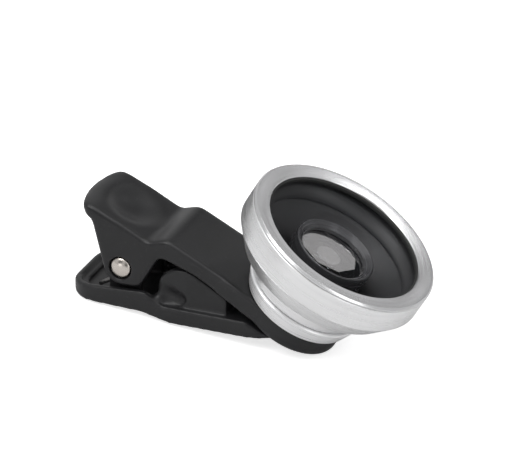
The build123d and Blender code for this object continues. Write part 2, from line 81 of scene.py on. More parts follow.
# Places of the part's own frames, in millimetres and degrees, as the frame's source gives them
TABLE_TILT = 6.275195930541722
TABLE_SHIFT = (3.38106, 0.0, 2.13926)
JAW_ANGLE = 30.0
DISC_PLACE = (4.5, 0.0, 1.0)
DISC_THICK = 4.1
PIVOT = (-25.5, 0.0, 9.3)
# A place near the mouth of the inner tube, in metres, which two of the cards face
MOUTH_PLACE = (0.0136, 0.0017, 0.0183)


class Body(Enum):
    """Bodies of the fixed frame that a piece can move with."""

    LOWER_ARM = "lower_arm"
    UPPER_ARM = "upper_arm"
    CLOSE_UP_GLASS = "macro_glass"
    CLOSE_UP_BARREL = "macro_barrel"
    WIDE_GLASS = "wide_glass"
    WIDE_BARREL = "wide_barrel"


class Slot(Enum):
    """Material slots of the fixed frame."""

    ARM = "arm_plastic"
    PAD = "pad_rubber"
    PIN = "pin_steel"
    SPRING = "spring_steel"
    METAL = "turned_aluminium"
    GLASS = "coated_glass"
    CELL = "cell_black"


def moved(offset: Sequence[float]) -> Matrix:
    """Matrix of a shift given in millimetres."""
    return Matrix.Translation(Vector(offset) * MM)


def turned_about_y(degrees: float) -> Matrix:
    """Matrix of a turn about Y."""
    return Matrix.Rotation(math.radians(degrees), 4, "Y")


LOWER_FRAME = moved(TABLE_SHIFT) @ turned_about_y(-TABLE_TILT)
DISC_FRAME = LOWER_FRAME @ moved(DISC_PLACE) @ turned_about_y(JAW_ANGLE)
LENS_FRAME = DISC_FRAME @ moved((0.0, 0.0, DISC_THICK))
PIN_FRAME = LOWER_FRAME @ moved(PIVOT) @ Matrix.Rotation(math.radians(90), 4, "X")


class Wire:
    """A socket in a material's tree, with arithmetic that adds Math nodes."""

    def __init__(self, tree: "ShaderTree", socket: bpy.types.NodeSocket | None) -> None:
        """Hold the tree and the socket."""
        self.tree = tree
        self.socket = socket

    def math(self, operation: str, *others: Number) -> "Wire":
        """Apply a Math node's operation to this value and the others."""
        return self.tree.math(operation, self, *others)

    def __add__(self, other: Number) -> "Wire":
        """Sum."""
        return self.math("ADD", other)

    def __radd__(self, other: Number) -> "Wire":
        """Sum, number first."""
        return self.tree.math("ADD", other, self)

    def __sub__(self, other: Number) -> "Wire":
        """Difference."""
        return self.math("SUBTRACT", other)

    def __rsub__(self, other: Number) -> "Wire":
        """Difference, number first."""
        return self.tree.math("SUBTRACT", other, self)

    def __mul__(self, other: Number) -> "Wire":
        """Product."""
        return self.math("MULTIPLY", other)

    def __rmul__(self, other: Number) -> "Wire":
        """Product, number first."""
        return self.tree.math("MULTIPLY", other, self)

    def __truediv__(self, other: Number) -> "Wire":
        """Quotient."""
        return self.math("DIVIDE", other)

    def __rtruediv__(self, other: Number) -> "Wire":
        """Quotient, number first."""
        return self.tree.math("DIVIDE", other, self)

    def __pow__(self, other: Number) -> "Wire":
        """Power."""
        return self.math("POWER", other)

    def __rpow__(self, other: Number) -> "Wire":
        """Power, number first."""
        return self.tree.math("POWER", other, self)

    def between(self, low: float, high: float) -> "Wire":
        """Value from 0 at low to 1 at high, held within those ends."""
        sockets = {"Value": self, "From Min": low, "From Max": high}
        return self.tree.node("ShaderNodeMapRange", {"clamp": True}, sockets)


class ShaderTree:
    """Builds the node tree of one material or of the world."""

    COLOUR_MIX_INPUTS = (0, 6, 7)
    COLOUR_MIX_RESULT = 2

    def __init__(self, owner: Union[bpy.types.Material, bpy.types.World]) -> None:
        """Empty the owner's tree.

        Args:
            owner: Material or world whose nodes are built.
        """
        owner.use_nodes = True
        self.nodes = owner.node_tree.nodes
        self.links = owner.node_tree.links
        self.nodes.clear()

    def node(
        self, kind: str, settings: dict[str, object] | None = None,
        sockets: dict[Union[str, int], object] | None = None, output: Union[str, int] = 0,
    ) -> Wire:
        """Add a node of any type.

        Args:
            kind: Type of the node.
            settings: Properties, set first.
            sockets: Values or links of its inputs, by name or number.
            output: Name or number of the output that is returned.

        Returns:
            The chosen output, or an empty wire for a node that has none.
        """
        made = self.nodes.new(kind)
        for name, value in (settings or {}).items():
            setattr(made, name, value)
        for name, value in (sockets or {}).items():
            if isinstance(value, Wire):
                self.links.new(value.socket, made.inputs[name])
            else:
                made.inputs[name].default_value = value
        return Wire(self, made.outputs[output] if len(made.outputs) else None)

    def math(self, operation: str, *values: Number) -> Wire:
        """Add a Math node for numbers."""
        return self.node("ShaderNodeMath", {"operation": operation}, dict(enumerate(values)))

    def blend(self, factor: Number, first: object, second: object) -> Wire:
        """Mix two colours by a factor."""
        sockets = dict(zip(self.COLOUR_MIX_INPUTS, (factor, first, second)))
        return self.node("ShaderNodeMix", {"data_type": "RGBA"}, sockets, self.COLOUR_MIX_RESULT)

    def between(self, factor: Number, first: Wire, second: Wire) -> Wire:
        """Mix two shaders by a factor."""
        return self.node("ShaderNodeMixShader", sockets={0: factor, 1: first, 2: second})

    def ray(self, kind: str) -> Wire:
        """Tell whether a ray is of the kind named."""
        return self.node("ShaderNodeLightPath", output=kind)

    def place(self) -> Wire:
        """Coordinates in the piece's own frame, in metres."""
        return self.node("ShaderNodeTexCoord", output="Object")

    def parts(self, vector: Wire) -> tuple[Wire, Wire, Wire]:
        """Split a vector into its three values."""
        split = self.node("ShaderNodeSeparateXYZ", sockets={0: vector}).socket.node
        return tuple(Wire(self, split.outputs[i]) for i in range(3))

    def vector(self, x: Number, y: Number, z: Number) -> Wire:
        """Join three values into a vector."""
        return self.node("ShaderNodeCombineXYZ", sockets={0: x, 1: y, 2: z})

    def noise(self, vector: Wire, scale: float, detail: float = 2.0) -> Wire:
        """Noise value around 0.5 at a vector."""
        sockets = {"Vector": vector, "Scale": scale, "Detail": detail, "Roughness": 0.55}
        return self.node("ShaderNodeTexNoise", sockets=sockets)

    def lathe_noise(self, around: float, along: float) -> Wire:
        """Noise drawn out into rings round Z.

        Args:
            around: Scale across the axis.
            along: Scale along the axis and along the radius.

        Returns:
            The noise value.
        """
        x, y, z = self.parts(self.place())
        radius = (x * x + y * y) ** 0.5
        return self.noise(self.vector(x * around, y * around, (z + radius) * along), 1.0)

    def bump(self, height: Wire, strength: float, distance: float) -> Wire:
        """Normal that follows a height; the distance is in millimetres."""
        sockets = {"Height": height, "Strength": strength, "Distance": distance * MM}
        return self.node("ShaderNodeBump", sockets=sockets)

    def surface(self, shader: Wire) -> None:
        """Send a shader to the material's output."""
        self.node("ShaderNodeOutputMaterial", sockets={"Surface": shader})

    def principled(self, sockets: dict[str, object]) -> None:
        """Add the main shader and send it to the output."""
        self.surface(self.node("ShaderNodeBsdfPrincipled", sockets=sockets))


def opaque(colour: Colour) -> tuple[float, float, float, float]:
    """Colour with full cover."""
    return (*colour, 1.0)


def grey(level: float) -> tuple[float, float, float, float]:
    """Neutral colour with full cover."""
    return opaque((level, level, level))


@dataclass(frozen=True)
class Finish:
    """A finish of one of the part's materials."""

    name: str
    slot: Slot

    def material(self) -> bpy.types.Material:
        """Give the finish's material, made on its first use.

        Returns:
            The material.
        """
        found = bpy.data.materials.get(self.name)
        if found is None:
            found = bpy.data.materials.new(self.name)
            self.dress(ShaderTree(found))
        return found

    def dress(self, tree: ShaderTree) -> None:
        """Build the material's nodes."""
        raise NotImplementedError


@dataclass(frozen=True)
class MouldedPlastic(Finish):
    """Black moulded plastic with the fine satin grain of an eroded mould."""

    dark: Colour = (0.0095, 0.0095, 0.0104)
    light: Colour = (0.0155, 0.0155, 0.0167)
    speck_colour: Colour = (0.10, 0.10, 0.105)
    speck_share: float = 0.06
    roughness: float = 0.33
    grain: float = 0.30

    def dress(self, tree: ShaderTree) -> None:
        """Build the material's nodes.

        Args:
            tree: Tree of the material.
        """
        place = tree.place()
        cloud = tree.noise(place, 140.0, 3.0)
        grain = tree.noise(place, 5200.0, 1.0)
        speck = tree.noise(place, 1900.0, 0.0).between(0.70, 0.82)
        colour = tree.blend(cloud, opaque(self.dark), opaque(self.light))
        tree.principled({
            "Base Color": tree.blend(speck * self.speck_share, colour, opaque(self.speck_colour)),
            "Roughness": self.roughness + 0.10 * (cloud - 0.5) + 0.08 * grain,
            "Specular IOR Level": 0.36,
            "Normal": tree.bump(grain, self.grain, 0.012),
        })


@dataclass(frozen=True)
class TurnedMetal(Finish):
    """Turned and anodised metal: fine lathe marks run round the piece's own Z axis."""

    colour: Colour = (0.84, 0.84, 0.845)
    shade: Colour = (0.75, 0.75, 0.76)
    roughness: float = 0.29
    marks: float = 0.22
    metal: float = 0.88

    def dress(self, tree: ShaderTree) -> None:
        """Build the material's nodes.

        Args:
            tree: Tree of the material.
        """
        fine = tree.lathe_noise(60.0, 9000.0)
        coarse = tree.lathe_noise(25.0, 1500.0)
        haze = tree.noise(tree.place(), 90.0)
        marks = fine * 0.6 + coarse * 0.4
        tone = (coarse * 0.55 + haze * 0.45).between(0.30, 0.70)
        tree.principled({
            "Base Color": tree.blend(tone, opaque(self.shade), opaque(self.colour)),
            "Metallic": self.metal,
            "Roughness": self.roughness + 0.22 * (marks - 0.5) + 0.10 * (haze - 0.5),
            "Normal": tree.bump(marks, self.marks, 0.010),
        })


@dataclass(frozen=True)
class PlatedSteel(Finish):
    """Warm nickel plate with fine scratches."""

    colour: Colour = (0.66, 0.61, 0.56)
    shade: Colour = (0.55, 0.51, 0.47)
    roughness: float = 0.20

    def dress(self, tree: ShaderTree) -> None:
        """Build the material's nodes.

        Args:
            tree: Tree of the material.
        """
        x, y, z = tree.parts(tree.place())
        scratch = tree.noise(tree.vector(x * 900.0, y * 9000.0, z * 900.0), 1.0)
        haze = tree.noise(tree.place(), 700.0)
        tree.principled({
            "Base Color": tree.blend(haze, opaque(self.shade), opaque(self.colour)),
            "Metallic": 1.0,
            "Roughness": self.roughness + 0.18 * (haze - 0.5) + 0.10 * scratch,
            "Normal": tree.bump(scratch, 0.25, 0.006),
        })


@dataclass(frozen=True)
class DrawnWire(Finish):
    """Grey drawn spring wire with darker drawing lines."""

    dark: Colour = (0.10, 0.10, 0.10)
    light: Colour = (0.24, 0.235, 0.23)
    roughness: float = 0.26

    def dress(self, tree: ShaderTree) -> None:
        """Build the material's nodes.

        Args:
            tree: Tree of the material.
        """
        streak = tree.noise(tree.place(), 2600.0)
        haze = tree.noise(tree.place(), 400.0)
        tree.principled({
            "Base Color": tree.blend(streak, opaque(self.dark), opaque(self.light)),
            "Metallic": 1.0,
            "Roughness": self.roughness + 0.20 * haze,
            "Normal": tree.bump(streak, 0.3, 0.006),
        })


@dataclass(frozen=True)
class SoftRubber(Finish):
    """Soft matt black rubber with a dusty bloom."""

    dark: Colour = (0.014, 0.014, 0.014)
    light: Colour = (0.028, 0.028, 0.027)
    roughness: float = 0.72

    def dress(self, tree: ShaderTree) -> None:
        """Build the material's nodes.

        Args:
            tree: Tree of the material.
        """
        place = tree.place()
        bloom = tree.noise(place, 420.0, 3.0)
        grain = tree.noise(place, 6500.0, 1.0)
        tree.principled({
            "Base Color": tree.blend(bloom, opaque(self.dark), opaque(self.light)),
            "Roughness": self.roughness + 0.15 * (bloom - 0.5),
            "Specular IOR Level": 0.35,
            "Normal": tree.bump(grain, 0.5, 0.012),
        })


@dataclass(frozen=True)
class CellBlack(Finish):
    """Black anodised metal inside the lens, with soft turning marks."""

    tone: float = 0.016
    roughness: float = 0.34

    def dress(self, tree: ShaderTree) -> None:
        """Build the material's nodes.

        Args:
            tree: Tree of the material.
        """
        rings = tree.lathe_noise(40.0, 3800.0)
        haze = tree.noise(tree.place(), 160.0)
        low = opaque((self.tone, self.tone, self.tone * 1.05))
        high = opaque((self.tone * 1.9, self.tone * 1.9, self.tone * 2.0))
        tree.principled({
            "Base Color": tree.blend(haze * 0.6 + rings * 0.4, low, high),
            "Roughness": self.roughness + 0.12 * (rings - 0.5),
            "Specular IOR Level": 0.5,
            "Normal": tree.bump(rings, 0.2, 0.008),
        })


@dataclass(frozen=True)
class CoatedGlass(Finish):
    """Clear polished glass with a thin coating: it lets light through and mirrors at its face.

    Face is the height from which the front mirrors, and edge the radius outside which the
    glass below its face is blackened, both in millimetres in the lens's frame.
    """

    tint: Colour = (0.94, 0.94, 0.945)
    mirror: Colour = (0.88, 0.94, 1.0)
    ink_dark: Colour = (0.014, 0.014, 0.015)
    ink_light: Colour = (0.026, 0.026, 0.028)
    reflected: float = 0.0
    grazing: float = 3.0
    dust: float = 0.003
    roughness: float = 0.02
    face: float = 0.0
    edge: float = 1000.0

    def dress(self, tree: ShaderTree) -> None:
        """Build the material's nodes.

        Args:
            tree: Tree of the material.
        """
        haze = tree.noise(tree.place(), 260.0, 3.0)
        speck = tree.noise(tree.place(), 3300.0, 0.0).between(0.74, 0.82)
        clear = tree.node("ShaderNodeBsdfTransparent", sockets={"Color": opaque(self.tint)})
        shine = tree.node("ShaderNodeBsdfPrincipled", sockets={
            "Base Color": opaque(self.mirror),
            "Metallic": 1.0,
            "Roughness": self.roughness + 0.02 * haze * haze,
        })
        ink = tree.node("ShaderNodeBsdfPrincipled", sockets={
            "Base Color": tree.blend(haze, opaque(self.ink_dark), opaque(self.ink_light)),
            "Roughness": 0.45,
        })
        facing = tree.node("ShaderNodeLayerWeight", sockets={"Blend": 0.5}, output="Facing")
        x, y, z = tree.parts(tree.place())
        front = z.math("GREATER_THAN", (self.face - 0.03) * MM)
        amount = self.reflected + self.grazing * facing ** 7 + self.dust * speck
        outer = ((x * x + y * y) ** 0.5).math("GREATER_THAN", self.edge * MM)
        blackened = outer * z.math("LESS_THAN", (self.face - 0.08) * MM)
        tree.surface(tree.between(blackened, tree.between(amount * front, clear, shine), ink))


class Finishes:
    """The finishes of the whole part."""

    arm = MouldedPlastic("satin_black_plastic", Slot.ARM)
    tray = MouldedPlastic("satin_black_plastic_tray", Slot.ARM, roughness=0.36)
    barrel = TurnedMetal("turned_silver", Slot.METAL)
    # Lit copy of the barrel's finish: the lighter colour and lower metal paint light on the base
    # ring, which otherwise mirrors the dark disc and arm.
    base = TurnedMetal(
        "turned_silver_base_painted_light", Slot.METAL, (0.90, 0.90, 0.905), (0.80, 0.80, 0.81), metal=0.35
    )
    # Shaded copy of the barrel's finish: the darker colour paints shade on the front ring's face,
    # which catches more light than the barrel's sides.
    bezel = TurnedMetal(
        "faced_silver_painted_shade", Slot.METAL, (0.68, 0.68, 0.69), (0.60, 0.60, 0.61),
        roughness=0.20, marks=0.14, metal=0.90,
    )
    pin = PlatedSteel("nickel_plate", Slot.PIN)
    wire = DrawnWire("drawn_wire", Slot.SPRING)
    rubber = SoftRubber("soft_rubber", Slot.PAD)
    cell = CellBlack("black_anodised", Slot.CELL)
    cup = CellBlack("black_cup", Slot.CELL, tone=0.019, roughness=0.40)
    tube = CellBlack("black_tube", Slot.CELL, tone=0.038, roughness=0.26)
    front_glass = CoatedGlass(
        "coated_front_glass", Slot.GLASS, grazing=1.0, face=16.0, edge=14.4
    )
    mouth_glass = CoatedGlass(
        "coated_mouth_glass", Slot.GLASS, (0.86, 0.88, 0.90), (1.0, 0.985, 0.97),
        reflected=0.34, roughness=0.0, face=12.3,
    )
    inner_glass = CoatedGlass(
        "coated_inner_glass", Slot.GLASS, (0.86, 0.88, 0.90), (0.94, 0.96, 1.0),
        reflected=0.10, face=-1.5,
    )


def linked(name: str, data: bpy.types.ID) -> bpy.types.Object:
    """Make an object and put it in the scene.

    Args:
        name: Name of the object.
        data: Its mesh, lamp or camera.

    Returns:
        The object.
    """
    thing = bpy.data.objects.new(name, data)
    bpy.context.scene.collection.objects.link(thing)
    return thing


def mesh_from(
    name: str, vertices: Sequence[Sequence[float]], faces: Sequence[Sequence[int]]
) -> bpy.types.Mesh:
    """Make a mesh.

    Args:
        name: Name of the mesh.
        vertices: Places in metres.
        faces: Numbers of each face's corners.

    Returns:
        The mesh.
    """
    mesh = bpy.data.meshes.new(name)
    mesh.from_pydata(vertices, [], faces)
    mesh.update()
    return mesh


def mesh_points(mesh: bpy.types.Mesh) -> np.ndarray:
    """Read the places of a mesh's vertices.

    Args:
        mesh: Mesh to read.

    Returns:
        One row of three values for each vertex, in metres.
    """
    points = np.empty(len(mesh.vertices) * 3)
    mesh.vertices.foreach_get("co", points)
    return points.reshape(-1, 3)


def set_points(mesh: bpy.types.Mesh, points: np.ndarray) -> None:
    """Write the places of a mesh's vertices."""
    mesh.vertices.foreach_set("co", points.reshape(-1))
    mesh.update()


def polygon(radius: float, sides: int, turn: float = 0.0, height: float = 0.0) -> list[Place]:
    """Corners of a flat regular polygon round Z, the first one at the angle turn."""
    angles = (turn + 2 * math.pi * k / sides for k in range(sides))
    return [(radius * math.cos(a), radius * math.sin(a), height) for a in angles]


def settle(
    name: str, mesh: bpy.types.Mesh, finish: Finish, body: Body | None, nodes: Iterable[str],
    frame: Matrix | None = None, sharp: float = 40.0,
) -> bpy.types.Object:
    """Make a piece from a mesh, dress it, give it its body, and hide the nodes that it stands
    for.

    Args:
        name: Name of the piece.
        mesh: Its mesh, in metres in its own frame.
        finish: Finish of its material.
        body: Body that it moves with, or None for a piece that is attached to no body.
        nodes: Nodes of the fixed frame that it replaces.
        frame: Place of its own frame; the row's frame if it is left out.
        sharp: Angle in degrees from which an edge is drawn sharp.

    Returns:
        The piece.
    """
    mesh.name = name
    mesh.validate()
    mesh.shade_smooth()
    mesh.set_sharp_from_angle(angle=math.radians(sharp))
    piece = linked(name, mesh)
    if frame is not None:
        piece.matrix_world = frame
    mesh.materials.clear()
    mesh.materials.append(finish.material())
    bpy.context.view_layer.update()
    if body is not None:
        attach(piece, body.value)
    for node in nodes:
        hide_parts(node)
    LOG.info("%s: %d faces, finish %s", name, len(mesh.polygons), finish.name)
    return piece


def rounded(corners: Sequence[Corner], steps: int = 5) -> list[Point]:
    """Round the corners of a closed outline.

    Args:
        corners: Radius, height and corner radius of each corner, in millimetres.
        steps: Points on each rounded corner.

    Returns:
        The outline's points.
    """
    outline: list[Point] = []
    for i, (r, z, size) in enumerate(corners):
        if size <= 0:
            outline.append((r, z))
            continue
        here = Vector((r, z))
        before = Vector(corners[i - 1][:2]) - here
        after = Vector(corners[(i + 1) % len(corners)][:2]) - here
        half = before.angle(after) / 2
        cut = min(size / math.tan(half), before.length * 0.49, after.length * 0.49)
        start = here + before.normalized() * cut
        end = here + after.normalized() * cut
        for k in range(steps + 1):
            t = k / steps
            point = start * (1 - t) ** 2 + here * (2 * t * (1 - t)) + end * t ** 2
            outline.append((point.x, point.y))
    return outline


def turned_mesh(
    outline: Sequence[Point], segments: int = 192, shape: Shape | None = None
) -> bpy.types.Mesh:
    """Turn a closed outline about Z.

    Args:
        outline: Radius and height points in millimetres; a point on the axis becomes one vertex.
        segments: Steps round the axis.
        shape: Function that shifts radii and heights by the angle, for threads and slots.

    Returns:
        The mesh, in metres.
    """
    angles = np.linspace(0.0, 2 * math.pi, segments, endpoint=False)
    vertices: list[Place] = []
    rings: list[list[int]] = []
    for r, z in outline:
        first = len(vertices)
        if r < 1e-6:
            vertices.append((0.0, 0.0, z * MM))
            rings.append([first] * segments)
            continue
        radii, heights = np.full(segments, r), np.full(segments, z)
        if shape is not None:
            radii, heights = shape(radii, heights, angles)
        ring = zip(radii * np.cos(angles) * MM, radii * np.sin(angles) * MM, heights * MM)
        vertices.extend(tuple(map(float, v)) for v in ring)
        rings.append(list(range(first, first + segments)))
    faces: list[tuple[int, ...]] = []
    for a, b in zip(rings, rings[1:] + rings[:1]):
        if a[0] == a[1] and b[0] == b[1]:
            continue
        for i in range(segments):
            j = (i + 1) % segments
            corners = tuple(dict.fromkeys((a[i], a[j], b[j], b[i])))
            if len(corners) > 2:
                faces.append(corners)
    return mesh_from("turned", vertices, faces)


def dome(edge_r: float, edge_z: float, rise: float, steps: int = 18) -> list[Point]:
    """Points of a spherical face from its middle out to its edge.

    Args:
        edge_r: Radius of the edge, in millimetres.
        edge_z: Height of the edge.
        rise: Height of the middle above the edge; below it if negative.
        steps: Steps from the middle to the edge.

    Returns:
        Radius and height of each point.
    """
    sphere = (edge_r ** 2 + rise ** 2) / (2 * abs(rise))
    radii = [edge_r * k / steps for k in range(steps + 1)]
    drops = [math.copysign(sphere - math.sqrt(sphere ** 2 - r ** 2), rise) for r in radii]
    return [(r, edge_z + rise - drop) for r, drop in zip(radii, drops)]


@dataclass(frozen=True)
class GroundGlass:
    """A round glass with domed faces, a small ground bevel and a straight edge."""

    edge_r: float
    edge_high: float
    front_rise: float
    edge_low: float
    rear_r: float
    rear_rise: float
    bevel: float = 0.12
    segments: int = 128

    def outline(self) -> list[Point]:
        """Give the glass's outline.

        Returns:
            Radius and height of each point, from the middle of the front to that of the rear.
        """
        points = dome(self.edge_r, self.edge_high, self.front_rise)[:-1]
        points += [(self.edge_r - self.bevel, self.edge_high + 0.01),
                   (self.edge_r, self.edge_high - self.bevel)]
        if self.rear_r < self.edge_r:
            points += [(self.edge_r, self.edge_low + self.bevel),
                       (self.edge_r - self.bevel, self.edge_low)]
        return points + dome(self.rear_r, self.edge_low, self.rear_rise)[::-1]

    def mesh(self) -> bpy.types.Mesh:
        """Turn the glass."""
        return turned_mesh(self.outline(), self.segments)


@dataclass(frozen=True)
class Thread:
    """A screw thread cut into a turned cylinder, as a shift of the surface's radius."""

    low: float
    high: float
    crest: float
    depth: float = 0.16
    pitch: float = 0.75
    run_out: float = 0.3
    step: float = 0.09

    def __call__(
        self, radii: np.ndarray, heights: np.ndarray, angles: np.ndarray
    ) -> tuple[np.ndarray, np.ndarray]:
        """Cut the thread where a ring lies on the threaded cylinder.

        Args:
            radii: Radii of the ring's points, in millimetres.
            heights: Their heights.
            angles: Their angles.

        Returns:
            The new radii and the same heights.
        """
        on_crest = np.abs(radii - self.crest) < 1e-4
        phase = heights / self.pitch - angles / (2 * math.pi)
        saw = np.abs(2 * (phase - np.floor(phase)) - 1)
        ends = np.minimum(heights - self.low, self.high - heights) / self.run_out
        fade = np.clip(ends, 0, 1)
        return radii - on_crest * fade * self.depth * saw, heights

    def outline(self) -> list[Point]:
        """Points up the cylinder, close enough to show the thread."""
        count = int((self.high - self.low) / self.step)
        return [(self.crest, self.low + (self.high - self.low) * k / count)
                for k in range(count + 1)]


@dataclass(frozen=True)
class Slots:
    """Two spanner slots cut into one face of a retaining ring."""

    face: float
    depth: float
    width: float = 0.9
    reach: float = 0.12

    def __call__(
        self, radii: np.ndarray, heights: np.ndarray, angles: np.ndarray
    ) -> tuple[np.ndarray, np.ndarray]:
        """Lower the face where a slot crosses the ring; a negative depth raises it.

        Args:
            radii: Radii of the ring's points, in millimetres.
            heights: Their heights.
            angles: Their angles.

        Returns:
            The same radii and the new heights.
        """
        across = np.abs(radii * np.sin(angles))
        cut = (across < self.width / 2) & (np.abs(heights - self.face) < self.reach)
        return radii, heights - cut * self.depth


@dataclass(frozen=True)
class TurnedPiece:
    """A piece turned from one profile, with the node that it stands for."""

    name: str
    node: str
    body: Body
    finish: Finish
    corners: tuple[Corner, ...]
    segments: int = 192
    steps: int = 3
    shape: Shape | None = None

    def build(self, frame: Matrix) -> None:
        """Turn the piece and put it in its frame."""
        mesh = turned_mesh(rounded(self.corners, self.steps), self.segments, self.shape)
        settle(self.name, mesh, self.finish, self.body, [self.node], frame)


def soften(
    mesh: bpy.types.Mesh, passes: int, weight: Callable[[np.ndarray], np.ndarray],
    pace: float = 0.6,
) -> None:
    """Round a dense mesh by moving its points towards the middle of their neighbours.

    Args:
        mesh: Mesh to change.
        passes: Number of passes.
        weight: Function that gives each point's share of the move, from 0 to 1.
        pace: Share of the way to the middle that one pass moves a point of full weight.
    """
    points = mesh_points(mesh)
    count = len(points)
    edges = np.empty(len(mesh.edges) * 2, dtype=np.int64)
    mesh.edges.foreach_get("vertices", edges)
    first, second = edges.reshape(-1, 2).T
    ends = np.concatenate([first, second])
    others = np.concatenate([second, first])
    degree = np.maximum(np.bincount(ends, minlength=count), 1)
    share = weight(points)[:, None]
    for _ in range(passes):
        middle = np.stack(
            [np.bincount(ends, points[others, k], count) / degree for k in range(3)], axis=1
        )
        points = points + pace * share * (middle - points)
    set_points(mesh, points)


def remeshed(node: bpy.types.Object, voxel: float) -> bpy.types.Mesh:
    """Copy a node's mesh as an even, closed mesh of small squares.

    Args:
        node: Node of the fixed frame; it isn't changed.
        voxel: Size of the squares, in millimetres.

    Returns:
        The new mesh, in the row's frame.
    """
    copy = linked("remesh_source", node.data.copy())
    step = copy.modifiers.new("even", "REMESH")
    step.mode = "VOXEL"
    step.voxel_size = voxel * MM
    step.adaptivity = 0.0
    bpy.context.view_layer.update()
    evaluated = copy.evaluated_get(bpy.context.evaluated_depsgraph_get())
    mesh = bpy.data.meshes.new_from_object(evaluated)
    bpy.data.objects.remove(copy)
    return mesh


def in_frame(points: np.ndarray, frame: Matrix) -> np.ndarray:
    """Give points of the row's frame in another frame, in millimetres."""
    inverse = np.array(frame.inverted())
    return (points @ inverse[:3, :3].T + inverse[:3, 3]) / MM


def ramp(values: np.ndarray, low: float, high: float) -> np.ndarray:
    """Smooth step from 0 at low to 1 at high."""
    t = np.clip((values - low) / (high - low), 0, 1)
    return t * t * (3 - 2 * t)


@dataclass
class ClipArms:
    """The two moulded arms, rounded from the frame's solids.

    Places are in millimetres: the upper arm's in the disc's frame, the lower arm's in its own.
    """

    voxel: float = 0.24
    sharp: float = 75.0
    upper_passes: int = 24
    disc_share: float = 0.25
    arm_to_disc: Span = (-16.0, -9.0)
    pin_in_disc: Point = (-30.1, -7.8)
    upper_bore: Span = (2.2, 3.6)
    dish: Point = (-36.3, 0.0)
    dish_passes: int = 60
    dish_inside: Span = (2.5, 5.0)
    dish_outside: Span = (7.0, 8.2)
    plate_skin: Span = (-2.2, -1.6)
    lower_passes: int = 8
    lower_share: float = 0.9
    lower_bore: Span = (1.9, 2.8)
    dimple: Point = (-16.2, 5.3)
    dimple_r: float = 1.7
    dimple_depth: float = 0.9
    dimple_rim: Span = (2.2, 3.4)
    dimple_foot: Span = (3.4, 4.2)
    melt_before: int = 60
    melt_after: int = 14
    wall_soft: Span = (6.2, 7.2)
    wall_face: Span = (7.0, 7.3)
    swell: Point = (-13.6, 7.2)
    swell_r: float = 2.4
    swell_height: float = 0.4

    def upper_weight(self, points: np.ndarray) -> np.ndarray:
        """Share of rounding: full on the thumb plate and hump, less on the disc, none at the pin.

        Args:
            points: Places in the row's frame.

        Returns:
            The share of each point, from 0 to 1.
        """
        u, _, n = in_frame(points, DISC_FRAME).T
        arm = 1 - ramp(u, *self.arm_to_disc)
        near_pin = np.hypot(u - self.pin_in_disc[0], n - self.pin_in_disc[1])
        share = self.disc_share + (1 - self.disc_share) * arm
        return share * ramp(near_pin, *self.upper_bore)

    def dish_weight(self, points: np.ndarray) -> np.ndarray:
        """Share of the second rounding, which melts the dish's rim into the plate.

        Args:
            points: Places in the row's frame.

        Returns:
            The share of each point, from 0 to 1.
        """
        u, y, n = in_frame(points, DISC_FRAME).T
        reach = np.hypot(u - self.dish[0], y - self.dish[1])
        ring = ramp(reach, *self.dish_inside) * (1 - ramp(reach, *self.dish_outside))
        return ring * ramp(n, *self.plate_skin)

    def lower_weight(self, points: np.ndarray) -> np.ndarray:
        """Share of rounding on the tray: even, and none round the pin's holes.

        Args:
            points: Places in the row's frame.

        Returns:
            The share of each point, from 0 to 1.
        """
        x, _, z = in_frame(points, LOWER_FRAME).T
        near_pin = np.hypot(x - PIVOT[0], z - PIVOT[2])
        return self.lower_share * ramp(near_pin, *self.lower_bore)

    def dimple_weight(self, points: np.ndarray) -> np.ndarray:
        """Share of rounding that melts the mould mark's sharp outline.

        Args:
            points: Places in the row's frame.

        Returns:
            The share of each point, from 0 to 1.
        """
        x, y, z = in_frame(points, LOWER_FRAME).T
        inside = 1 - ramp(np.hypot(x - self.dimple[0], z - self.dimple[1]), *self.dimple_rim)
        return ramp(-y, *self.wall_soft) * inside * ramp(z, *self.dimple_foot)

    def press_dimple(self, mesh: bpy.types.Mesh) -> None:
        """Press the soft mould mark into the outer face of the box's near wall.

        Args:
            mesh: Mesh of the lower arm.
        """
        points = mesh_points(mesh)
        x, y, z = in_frame(points, LOWER_FRAME).T
        low = np.hypot(x - self.dimple[0], z - self.dimple[1])
        high = np.hypot(x - self.swell[0], z - self.swell[1])
        press = self.dimple_depth * np.exp(-(low / self.dimple_r) ** 2)
        press -= self.swell_height * np.exp(-(high / self.swell_r) ** 2)
        points[:, 1] += ramp(-y, *self.wall_face) * press * MM
        set_points(mesh, points)

    def build(self, nodes: dict[str, bpy.types.Object]) -> None:
        """Build both arms.

        Args:
            nodes: Nodes of the fixed frame by name.
        """
        upper = remeshed(nodes["upper_arm"], self.voxel)
        soften(upper, self.upper_passes, self.upper_weight)
        soften(upper, self.dish_passes, self.dish_weight)
        settle("clip_thumb_arm", upper, Finishes.arm, Body.UPPER_ARM, ["upper_arm"],
               sharp=self.sharp)
        lower = remeshed(nodes["lower_arm"], self.voxel)
        soften(lower, self.melt_before, self.dimple_weight)
        self.press_dimple(lower)
        soften(lower, self.melt_after, self.dimple_weight)
        soften(lower, self.lower_passes, self.lower_weight)
        settle("clip_tray_arm", lower, Finishes.tray, Body.LOWER_ARM, ["lower_arm"],
               sharp=self.sharp)


